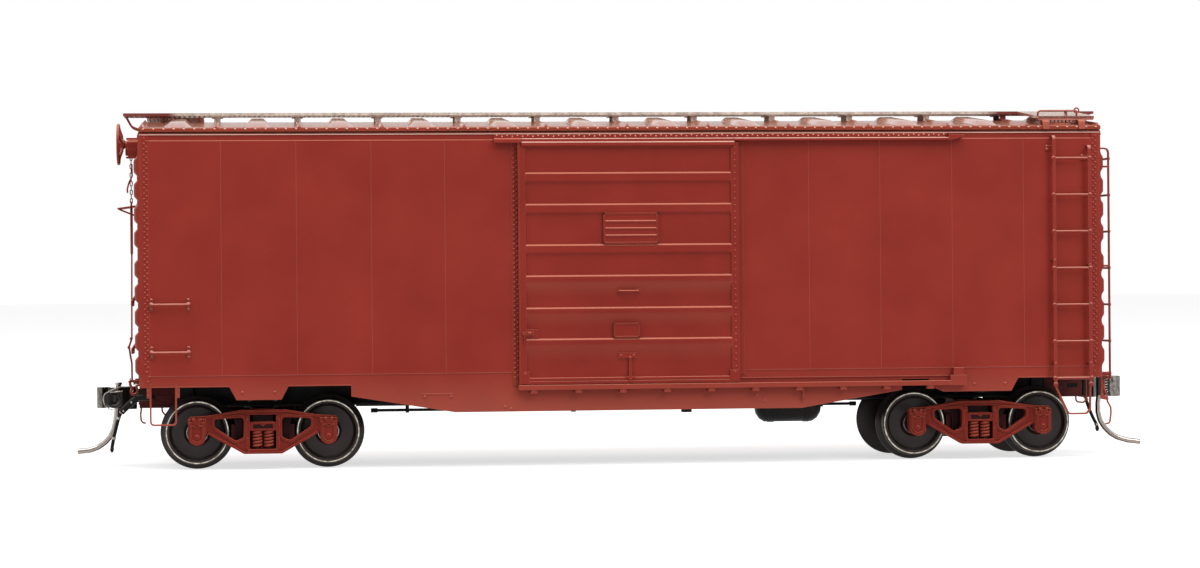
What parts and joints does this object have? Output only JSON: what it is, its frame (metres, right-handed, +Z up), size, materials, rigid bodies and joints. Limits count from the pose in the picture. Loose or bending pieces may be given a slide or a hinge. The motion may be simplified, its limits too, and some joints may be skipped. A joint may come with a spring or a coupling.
{
  "type": "model railroad boxcar",
  "caption": "Small-scale model of a steel railroad boxcar: ribbed ends, sliding side doors that open, swivelling four-wheel trucks with turning wheels, working couplers.",
  "frame": {"origin": "on the track plane under the middle of the car", "axes": "+X along the car towards the plain end, +Z up, -Y the right side"},
  "size_m": [0.1638, 0.0364, 0.053],
  "materials": {
    "body_brown": "satin paint",
    "truck_brown": "satin",
    "walk_grey": "matte galvanised",
    "underframe_black": "satin",
    "coupler_black": "satin blackened",
    "bright_steel": "bright",
    "wheel_metal": "blackened faces, bright treads",
    "axle_black": "satin",
    "ballast_steel": "dull"
  },
  "bodies": {
    "car_body": {"air_hoses": "underframe_black", "air_reservoir": "underframe_black", "ballast_weight": "ballast_steel", "body_bolsters": "underframe_black", "brake_cylinder": "underframe_black", "brake_housing": "body_brown", "brake_levers": "underframe_black", "brake_rod": "body_brown", "brake_step": "body_brown", "brake_wheel": "body_brown", "center_sill": "underframe_black", "control_valve": "underframe_black", "corner_grab_irons": "body_brown", "coupler_pocket_a": "underframe_black", "coupler_pocket_b": "underframe_black", "crossbearers": "underframe_black", "door_tracks_lower": "body_brown", "door_tracks_upper": "body_brown", "end_brake": "body_brown", "end_grab_irons": "body_brown", "end_ladders": "body_brown", "end_plain": "body_brown", "floor": "underframe_black", "lateral_boards": "body_brown", "roof": "body_brown", "running_board": "walk_grey", "running_board_supports": "body_brown", "side_grab_irons": "body_brown", "side_ladders": "body_brown", "side_left": "body_brown", "side_right": "body_brown", "side_sill_left": "body_brown", "side_sill_right": "body_brown", "sill_steps": "body_brown", "train_line": "underframe_black", "uncoupling_levers": "body_brown"},
    "door_right": {"door_right": "body_brown"},
    "door_left": {"door_left": "body_brown"},
    "truck_b": {"truck_b_side_frames": "truck_brown", "truck_b_bolster": "truck_brown", "truck_b_springs": "truck_brown", "truck_b_brake_beams": "truck_brown"},
    "wheelset_b1": {"wheelset_b1_axle": "axle_black", "wheelset_b1_wheels": "wheel_metal"},
    "wheelset_b2": {"wheelset_b2_axle": "axle_black", "wheelset_b2_wheels": "wheel_metal"},
    "coupler_b": {"coupler_b": "coupler_black"},
    "knuckle_b": {"knuckle_b": "coupler_black", "trip_pin_b": "bright_steel"},
    "truck_a": {"truck_a_side_frames": "truck_brown", "truck_a_bolster": "truck_brown", "truck_a_springs": "truck_brown", "truck_a_brake_beams": "truck_brown"},
    "wheelset_a1": {"wheelset_a1_axle": "axle_black", "wheelset_a1_wheels": "wheel_metal"},
    "wheelset_a2": {"wheelset_a2_axle": "axle_black", "wheelset_a2_wheels": "wheel_metal"},
    "coupler_a": {"coupler_a": "coupler_black"},
    "knuckle_a": {"knuckle_a": "coupler_black", "trip_pin_a": "bright_steel"}
  },
  "joints": [
    {"name": "truck_b_swivel", "type": "hinge", "parent": "car_body", "child": "truck_b", "pos_m": [-0.05375, 0, 0.00875], "axis": [0, 0, 1], "range_deg": [-12, 12]},
    {"name": "wheelset_b1_spin", "type": "hinge", "parent": "truck_b", "child": "wheelset_b1", "pos_m": [-0.06338, 0, 0.00545], "axis": [0, 1, 0], "continuous": true},
    {"name": "wheelset_b2_spin", "type": "hinge", "parent": "truck_b", "child": "wheelset_b2", "pos_m": [-0.04412, 0, 0.00545], "axis": [0, 1, 0], "continuous": true},
    {"name": "coupler_b_swing", "type": "hinge", "parent": "car_body", "child": "coupler_b", "pos_m": [-0.0665, 0, 0.0104], "axis": [0, 0, 1], "range_deg": [-10, 10], "stiffness_Nm_per_rad": 0.0002},
    {"name": "knuckle_b_open", "type": "hinge", "parent": "coupler_b", "child": "knuckle_b", "pos_m": [-0.0753, 0.002, 0.0104], "axis": [0, 0, -1], "range_deg": [0, 20], "stiffness_Nm_per_rad": 0.0001},
    {"name": "truck_a_swivel", "type": "hinge", "parent": "car_body", "child": "truck_a", "pos_m": [0.05375, 0, 0.00875], "axis": [0, 0, 1], "range_deg": [-12, 12]},
    {"name": "wheelset_a1_spin", "type": "hinge", "parent": "truck_a", "child": "wheelset_a1", "pos_m": [0.06338, 0, 0.00545], "axis": [0, 1, 0], "continuous": true},
    {"name": "wheelset_a2_spin", "type": "hinge", "parent": "truck_a", "child": "wheelset_a2", "pos_m": [0.04412, 0, 0.00545], "axis": [0, 1, 0], "continuous": true},
    {"name": "coupler_a_swing", "type": "hinge", "parent": "car_body", "child": "coupler_a", "pos_m": [0.0665, 0, 0.0104], "axis": [0, 0, 1], "range_deg": [-10, 10], "stiffness_Nm_per_rad": 0.0002},
    {"name": "knuckle_a_open", "type": "hinge", "parent": "coupler_a", "child": "knuckle_a", "pos_m": [0.0753, -0.002, 0.0104], "axis": [0, 0, -1], "range_deg": [0, 20], "stiffness_Nm_per_rad": 0.0001},
    {"name": "door_right_slide", "type": "slide", "parent": "car_body", "child": "door_right", "axis": [1, 0, 0], "range_m": [0, 0.0315]},
    {"name": "door_left_slide", "type": "slide", "parent": "car_body", "child": "door_left", "axis": [-1, 0, 0], "range_m": [0, 0.0315]}
  ]
}
